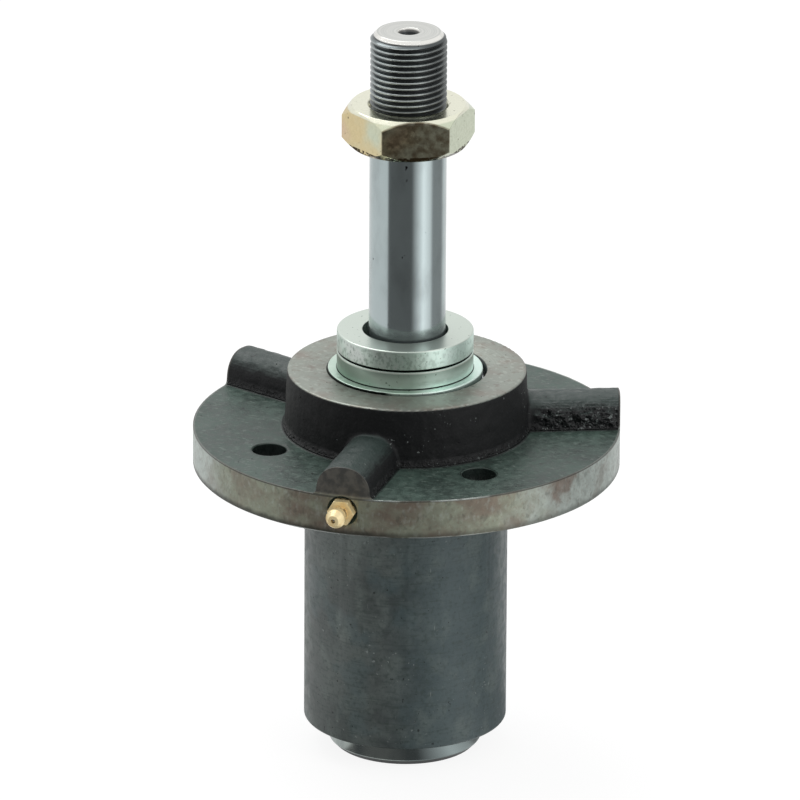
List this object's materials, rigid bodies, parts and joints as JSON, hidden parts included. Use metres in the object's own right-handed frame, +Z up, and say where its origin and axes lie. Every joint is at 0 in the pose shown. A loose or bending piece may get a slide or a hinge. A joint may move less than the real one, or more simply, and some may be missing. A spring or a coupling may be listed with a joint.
{
  "type": "mower deck spindle",
  "caption": "Mower deck spindle: round ribbed cast flange and barrel housing carrying an upright steel shaft on ball bearings, with collar, jam nut and grease fitting.",
  "frame": {"origin": "centre of the bolt circle on the flange's underside, where the deck lies, on the shaft's axis", "axes": "+Z up the shaft towards the threaded end, -Y out through the grease fitting"},
  "size_m": [0.141, 0.1509, 0.2489],
  "materials": {
    "cast_housing": "dark oiled as-cast iron, machined on the boss face and rim",
    "ground_steel": "turned and ground bare steel",
    "yellow_zinc": "yellow passivated zinc plate",
    "clear_zinc": "clear zinc plate with a greenish tint",
    "bearing_steel": "polished bearing steel",
    "cage_steel": "pressed sheet steel",
    "seal_rubber": "black moulded rubber",
    "fitting_brass": "bright gold plate",
    "spring_steel": "bare spring wire"
  },
  "bodies": {
    "housing": {"spindle_housing": "cast_housing", "upper_outer_race": "bearing_steel", "lower_outer_race": "bearing_steel", "upper_seal": "seal_rubber", "lower_seal": "seal_rubber", "grease_fitting": "fitting_brass", "check_spring": "spring_steel"},
    "shaft": {"spindle_shaft": "ground_steel", "grooved_collar": "clear_zinc", "dust_shield": "clear_zinc", "spacer_sleeve": "ground_steel", "upper_inner_race": "bearing_steel", "lower_inner_race": "bearing_steel"},
    "upper_ball_set": {"upper_balls": "bearing_steel", "upper_cage_outer_half": "cage_steel", "upper_cage_inner_half": "cage_steel", "upper_cage_rivets": "cage_steel"},
    "lower_ball_set": {"lower_balls": "bearing_steel", "lower_cage_outer_half": "cage_steel", "lower_cage_inner_half": "cage_steel", "lower_cage_rivets": "cage_steel"},
    "nut": {"jam_nut": "yellow_zinc"},
    "check_ball": {"check_ball": "bearing_steel"}
  },
  "joints": [
    {"name": "shaft_spin", "type": "hinge", "parent": "housing", "child": "shaft", "pos_m": [0, 0, 0], "axis": [0, 0, 1], "continuous": true},
    {"name": "upper_ball_orbit", "type": "hinge", "parent": "housing", "child": "upper_ball_set", "pos_m": [0, 0, 0.0226], "axis": [0, 0, 1], "continuous": true},
    {"name": "lower_ball_orbit", "type": "hinge", "parent": "housing", "child": "lower_ball_set", "pos_m": [0, 0, -0.0791], "axis": [0, 0, 1], "continuous": true},
    {"name": "nut_travel", "type": "slide", "parent": "shaft", "child": "nut", "axis": [0, 0, 1], "range_m": [0, 0.04]},
    {"name": "check_ball_press", "type": "slide", "parent": "housing", "child": "check_ball", "axis": [0, 1, 0], "range_m": [0, 0.001], "stiffness_N_per_m": 200, "springref_m": -0.0005, "deforming": ["check_spring"]}
  ],
  "couplings": [
    {"joint": "upper_ball_orbit", "follows": "shaft_spin", "ratio": 0.3974},
    {"joint": "lower_ball_orbit", "follows": "shaft_spin", "ratio": 0.3974}
  ]
}
